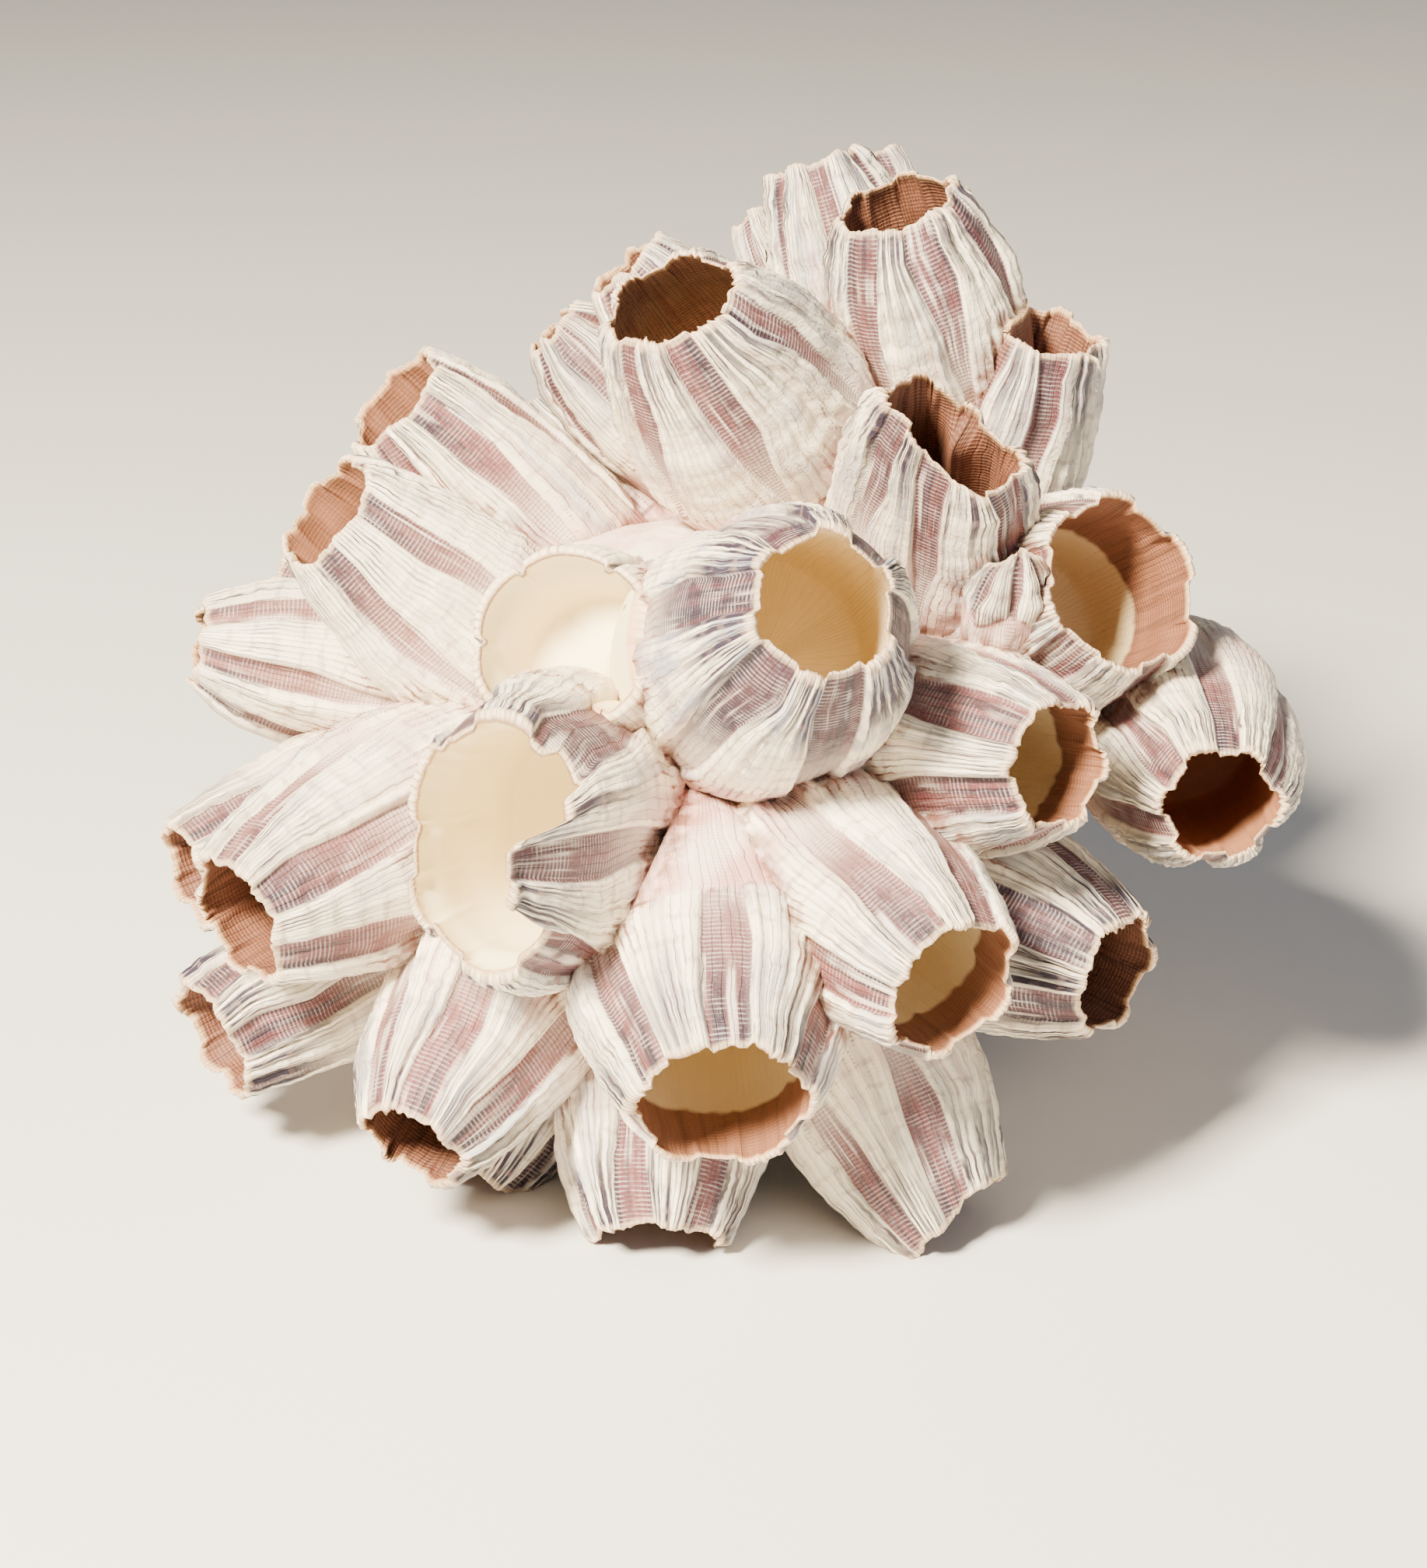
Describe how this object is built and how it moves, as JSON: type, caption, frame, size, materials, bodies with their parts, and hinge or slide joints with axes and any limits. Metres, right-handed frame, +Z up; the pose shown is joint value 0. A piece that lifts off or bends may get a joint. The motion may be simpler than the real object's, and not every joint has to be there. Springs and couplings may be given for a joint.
{
  "type": "barnacle cluster",
  "caption": "Ball-shaped natural clump of hollow, ribbed acorn barnacle shells grown on one another, mouths facing outwards.",
  "frame": {"origin": "middle of the footprint box, on the surface that the clump rests on", "axes": "+Z up, +X to the right as seen from the side that the broken shell and the big middle shell face, which is -Y; +X is along the longest side"},
  "size_m": [0.1246, 0.109, 0.1046],
  "materials": {
    "shell": "matt, ribbed, chalky white with mauve bands",
    "shell_base": "matt, smooth, pinkish white"
  },
  "bodies": {
    "root": {"fused_bases": "shell_base", "barnacle_centre": "shell", "barnacle_shoulder_big": "shell", "barnacle_crown_top": "shell", "barnacle_far_right": "shell", "barnacle_broken": "shell", "barnacle_front_low": "shell", "barnacle_twin": "shell", "barnacle_right_mid": "shell", "barnacle_right_low": "shell", "barnacle_left_low": "shell", "barnacle_left_up": "shell", "barnacle_left_mid": "shell", "barnacle_scar": "shell", "barnacle_wing_wide": "shell", "barnacle_right_outer": "shell", "barnacle_foot_front": "shell", "barnacle_foot_right": "shell", "barnacle_left_top": "shell", "barnacle_foot_left": "shell", "barnacle_left_outer": "shell", "barnacle_left_under": "shell", "barnacle_left_fin": "shell", "barnacle_wing_up": "shell", "barnacle_crown_behind": "shell", "barnacle_shoulder_behind": "shell", "barnacle_shoulder_small": "shell", "barnacle_crown_back": "shell", "barnacle_crown_side": "shell", "barnacle_foot_back_right": "shell", "barnacle_foot_back_left": "shell", "barnacle_back_mid": "shell", "barnacle_back_right": "shell", "barnacle_back_left": "shell", "barnacle_back_upper": "shell", "barnacle_back_low_right": "shell", "barnacle_back_low_left": "shell", "barnacle_back_wing": "shell", "barnacle_back_crown": "shell", "barnacle_under_right": "shell", "barnacle_nook_back": "shell", "barnacle_left_bud": "shell", "barnacle_wing_bud": "shell", "barnacle_nook_bud": "shell"}
  },
  "joints": []
}
